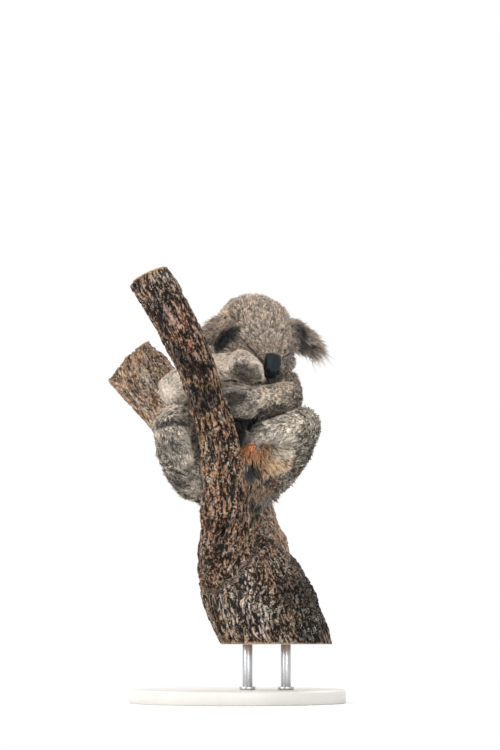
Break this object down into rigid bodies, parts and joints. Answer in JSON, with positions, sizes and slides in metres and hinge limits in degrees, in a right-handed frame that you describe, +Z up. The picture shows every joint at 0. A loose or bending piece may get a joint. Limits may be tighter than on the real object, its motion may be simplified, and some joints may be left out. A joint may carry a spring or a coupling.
{
  "type": "koala",
  "caption": "Life-size koala asleep in the fork of a tree, head bowed over its folded arms, its perch held above a flat round display base by short rods.",
  "frame": {"origin": "centre of the display base's underside", "axes": "+Z up, the koala faces -Y and its own left side is at +X"},
  "size_m": [0.4102, 0.4724, 0.6883],
  "materials": {
    "fur": "thick woolly grey-brown coat, cream on the chest, chin, inner arms and rump, charcoal inside the ears",
    "nose_leather": "bare blue-black pad, fine pebbled grain, slightly moist sheen",
    "claw_horn": "dark horn, smooth and slightly glossy, scuffed towards the tips",
    "bark": "rough, furrowed eucalyptus bark in dark and red-brown with tan ridges, pale sawn ends",
    "stand_base": "pale grey sprayed satin paint on a turned board",
    "stand_rod": "brushed stainless steel"
  },
  "bodies": {
    "root": {"claw_foot_left_1": "claw_horn", "claw_foot_left_2": "claw_horn", "claw_foot_left_3": "claw_horn", "claw_foot_left_4": "claw_horn", "claw_foot_right_1": "claw_horn", "claw_foot_right_2": "claw_horn", "claw_foot_right_3": "claw_horn", "claw_foot_right_4": "claw_horn", "claw_hand_left_1": "claw_horn", "claw_hand_left_2": "claw_horn", "claw_hand_left_3": "claw_horn", "claw_hand_left_4": "claw_horn", "claw_hand_left_5": "claw_horn", "claw_hand_right_1": "claw_horn", "claw_hand_right_2": "claw_horn", "claw_hand_right_3": "claw_horn", "claw_hand_right_4": "claw_horn", "ear_left": "fur", "ear_right": "fur", "eye_left": "fur", "eye_right": "fur", "foot_left": "fur", "foot_right": "fur", "forearm_left": "fur", "forearm_right": "fur", "hand_left": "fur", "hand_right": "fur", "head": "fur", "neck": "fur", "nose": "nose_leather", "perch_front_branch": "bark", "perch_rear_branch": "bark", "perch_trunk": "bark", "shin_left": "fur", "shin_right": "fur", "stand_base": "stand_base", "stand_rod_left": "stand_rod", "stand_rod_right": "stand_rod", "thigh_left": "fur", "thigh_right": "fur", "trunk": "fur", "upper_arm_left": "fur", "upper_arm_right": "fur"}
  },
  "joints": []
}
